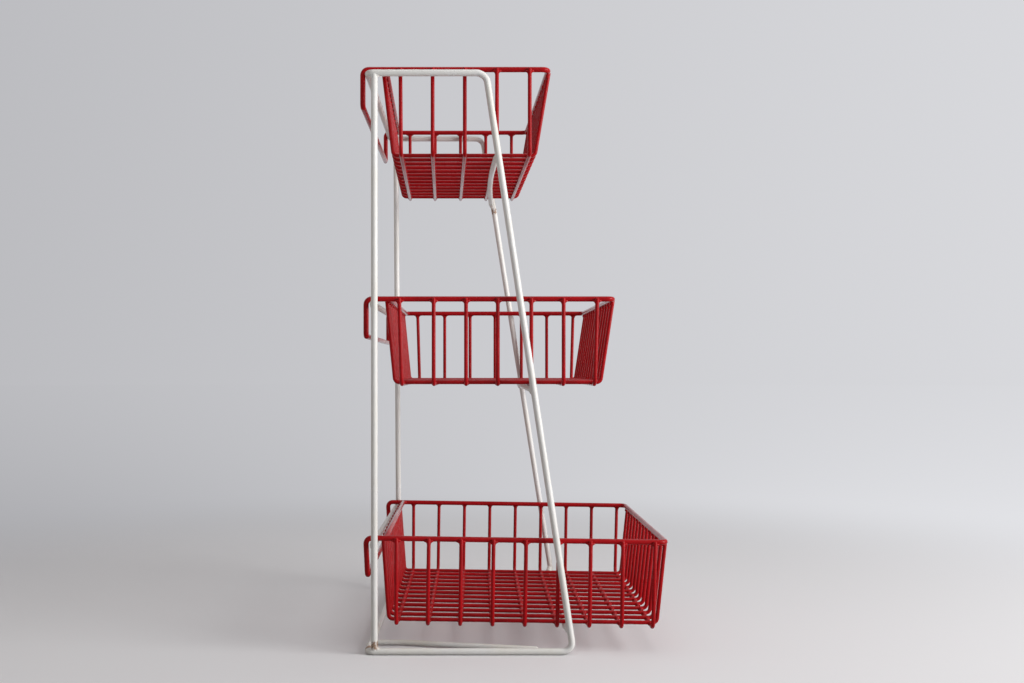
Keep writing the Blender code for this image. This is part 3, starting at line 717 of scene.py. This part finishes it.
# Long wires. Thirteen to a basket, bent up at both ends, lapped in front of the front rim and behind
# the straight rear rim wire. That is the thicker wire, welded between the two side rims, and the long
# wires are welded to it as one comb.
LONG_WIRE_RADIUS = 0.00215
LONG_WIRE_BEND = 0.0048
LONG_WIRE_TIP = 0.0006
FRONT_LAP = 0.0038
REAR_LAP = 0.0036
REAR_WEB = 0.0016
for basket in BASKETS:
    rim = rim_height(basket)
    floor = rim - BASKET_HEIGHT
    front_slope = basket["front_lean"] / BASKET_HEIGHT
    rear_slope = basket["rear_lean"] / BASKET_HEIGHT
    x = long_wire_places[0]
    racking = basket["rack"] / (2 * RIM_HALF_WIDTH)
    racked = racking * (x + RIM_HALF_WIDTH)
    front = basket["rear_reach"] + basket["depth"] + FRONT_LAP * math.hypot(1, front_slope) + racked
    rear = basket["rear_reach"] - REAR_LAP * math.hypot(1, rear_slope) + racked
    name = basket["name"] + "_long_wires"
    parts = [bent_wire(name, [
        (basket_place(basket, x, rear - LONG_WIRE_TIP * rear_slope, rim + LONG_WIRE_TIP), 0),
        (basket_place(basket, x, rear + basket["rear_lean"], floor), LONG_WIRE_BEND),
        (basket_place(basket, x, front - basket["front_lean"], floor), LONG_WIRE_BEND),
        (basket_place(basket, x, front + LONG_WIRE_TIP * front_slope, rim + LONG_WIRE_TIP), 0),
    ], LONG_WIRE_RADIUS, WIRE_FACETS)]
    for reach, slope, inset, web in (
        (front, front_slope, -WEB_INSET, COAT_WEB), (rear, -rear_slope, WEB_INSET, REAR_WEB),
    ):
        core = basket_place(basket, x, reach + inset, rim)
        parts.append(make_fillet(
            core, (0, slope, -1), (1, 0, 0), LONG_WIRE_RADIUS, RIM_RADIUS, name + "_web", web))
    first = join_pieces(parts, name)
    wires = [first] + [
        copy_piece(first, (place_x - x, -racking * (place_x - x), 0), f"{name}_{number}")
        for number, place_x in enumerate(long_wire_places[1:], start=2)
    ]
    rear_rim = basket["rear_reach"] - WIRE_GAP
    wires.append(bent_wire(name + "_rear_rim", [
        (basket_place(basket, -RIM_HALF_WIDTH, rear_rim, rim), 0),
        (basket_place(basket, RIM_HALF_WIDTH, rear_rim + basket["rack"], rim), 0),
    ], RIM_RADIUS, WIRE_FACETS))
    for side, shift in ((-1, 0.0), (1, basket["rack"])):
        wires.append(make_fillet(
            basket_place(basket, side * RIM_HALF_WIDTH, rear_rim + shift, rim),
            (-side, 0, 0), (0, 1, 0), RIM_RADIUS, RIM_RADIUS * WELD_CORE_SHARE, name + "_rim_weld"))
    comb = join_pieces(wires, name + "_coated")
    hang(comb, basket)
    dress(comb, RED_COAT, "red_coat", basket["name"], name)

# Floor, light and camera. A plain pale studio floor that fades into a backdrop, both brighter towards
# the large soft light in front of the rack, with weak lights above and behind it. The camera stands
# square on to the rack's left side.
DARKER_BACKDROP = (0.365, 0.365, 0.385, 1)
BRIGHTER_BACKDROP = (0.815, 0.820, 0.850, 1)
FLOOR_RADIUS = 20.0
FLOOR_FACETS = 64
FLOOR_GAP = 0.0002
LIT_FLOOR_PAINT = (0.44, 0.435, 0.44, 1)
SEEN_FLOOR_PAINT = (0.86, 0.855, 0.87, 1)
FLOOR_ROUGHNESS = 0.7
FADE_START = 0.35
FADE_END = 1.5


def add_backdrop_colour(tree, direction):
    """The backdrop's colour in a direction, brighter towards the rack's front."""
    unit = add_node(tree, "ShaderNodeVectorMath", {0: direction}, operation="NORMALIZE")
    parts = add_node(tree, "ShaderNodeSeparateXYZ", {"Vector": unit.outputs["Vector"]})
    share = add_node(tree, "ShaderNodeMapRange", {
        "Value": parts.outputs["Y"], "From Min": 1.0, "From Max": -1.0})
    mixed = add_node(tree, "ShaderNodeMix", {
        "Factor": share.outputs["Result"], 6: DARKER_BACKDROP, 7: BRIGHTER_BACKDROP}, data_type="RGBA")
    return mixed.outputs[2]


bpy.ops.object.select_all(action="DESELECT")
bpy.ops.mesh.primitive_circle_add(
    vertices=FLOOR_FACETS, radius=FLOOR_RADIUS, fill_type="NGON", location=(0, 0, -FLOOR_GAP))
floor = bpy.context.object
floor.name = "studio_floor"
floor_finish = bpy.data.materials.new("pale_studio_floor")
floor_finish.use_nodes = True
tree = floor_finish.node_tree
shader = tree.nodes["Principled BSDF"]
rays = add_node(tree, "ShaderNodeLightPath")
paint = add_node(tree, "ShaderNodeMix", {
    "Factor": rays.outputs["Is Camera Ray"], 6: LIT_FLOOR_PAINT, 7: SEEN_FLOOR_PAINT}, data_type="RGBA")
tree.links.new(paint.outputs[2], shader.inputs["Base Color"])
shader.inputs["Roughness"].default_value = FLOOR_ROUGHNESS
spots = add_node(tree, "ShaderNodeTexCoord").outputs["Object"]
backdrop = add_backdrop_colour(tree, spots)
glow = add_node(tree, "ShaderNodeEmission", {"Color": backdrop, "Strength": 1.0})
from_middle = add_node(tree, "ShaderNodeVectorMath", {0: spots}, operation="LENGTH")
fade = add_node(tree, "ShaderNodeMapRange", {
    "Value": from_middle.outputs["Value"], "From Min": FADE_START, "From Max": FADE_END,
}, interpolation_type="SMOOTHERSTEP")
blend = add_node(tree, "ShaderNodeMixShader", {
    0: fade.outputs["Result"], 1: shader.outputs["BSDF"], 2: glow.outputs["Emission"]})
tree.links.new(blend.outputs[0], tree.nodes["Material Output"].inputs["Surface"])
floor.data.materials.append(floor_finish)

FILL_COLOUR = (0.97, 0.97, 1.0, 1)
FILL_STRENGTH = 0.19
world = bpy.data.worlds.new("studio")
bpy.context.scene.world = world
world.use_nodes = True
tree = world.node_tree
fill = tree.nodes["Background"]
fill.inputs["Color"].default_value = FILL_COLOUR
fill.inputs["Strength"].default_value = FILL_STRENGTH
sky = add_backdrop_colour(tree, add_node(tree, "ShaderNodeTexCoord").outputs["Generated"])
seen = add_node(tree, "ShaderNodeBackground", {"Color": sky, "Strength": 1.0})
rays = add_node(tree, "ShaderNodeLightPath")
mirrored = add_node(tree, "ShaderNodeMath", {
    0: rays.outputs["Is Camera Ray"], 1: rays.outputs["Is Glossy Ray"]}, operation="MAXIMUM")
shown = add_node(tree, "ShaderNodeMath", {
    0: mirrored.outputs[0], 1: rays.outputs["Is Transmission Ray"]}, operation="MAXIMUM")
mixed = add_node(tree, "ShaderNodeMixShader", {
    0: shown.outputs[0], 1: fill.outputs["Background"], 2: seen.outputs["Background"]})
tree.links.new(mixed.outputs[0], tree.nodes["World Output"].inputs["Surface"])

DAYLIGHT = (1.0, 0.99, 0.98)
WARM_LIGHT = (1.0, 0.80, 0.62)
RACK_MIDDLE = Vector((0, 0, 0.3))

# Each lamp, as its place, its size, its power and its colour
for name, spot, size, power, colour in (
    ("window_light", (-1.1, -2.2, 0.95), (1.3, 1.6), 66, DAYLIGHT),
    ("overhead_light", (-0.3, -0.2, 2.2), (1.6, 1.6), 11, DAYLIGHT),
    ("warm_bounce", (0.2, 2.4, 0.7), (1.6, 1.2), 6, WARM_LIGHT),
):
    bpy.ops.object.light_add(type="AREA", location=spot)
    lamp = bpy.context.object
    lamp.name = name
    lamp.rotation_euler = (RACK_MIDDLE - Vector(spot)).to_track_quat("-Z", "Y").to_euler()
    lamp.data.shape = "RECTANGLE"
    lamp.data.size, lamp.data.size_y = size
    lamp.data.energy = power
    lamp.data.color = colour

# The camera's axis passes through pixel AXIS_X, AXIS_Y of the picture, counted from its top left
CAMERA_X = -1.366
CAMERA_REACH = 0.1004
CAMERA_HEIGHT = 0.2978
SENSOR_WIDTH = 36
PICTURE_WIDTH = 1024
PICTURE_HEIGHT = 683
FOCAL_PIXELS = 1150
AXIS_X = 471
AXIS_Y = 368
bpy.ops.object.camera_add(
    location=(CAMERA_X, LEG_LINE - CAMERA_REACH, CAMERA_HEIGHT),
    rotation=(math.pi / 2, 0, -math.pi / 2))
camera = bpy.context.object
camera.data.sensor_width = SENSOR_WIDTH
camera.data.lens = SENSOR_WIDTH * FOCAL_PIXELS / PICTURE_WIDTH
camera.data.shift_x = (PICTURE_WIDTH / 2 - AXIS_X) / PICTURE_WIDTH
camera.data.shift_y = (AXIS_Y - PICTURE_HEIGHT / 2) / PICTURE_WIDTH
camera.data.clip_start = 0.01
bpy.context.scene.camera = camera
bpy.context.scene.view_settings.view_transform = "Standard"
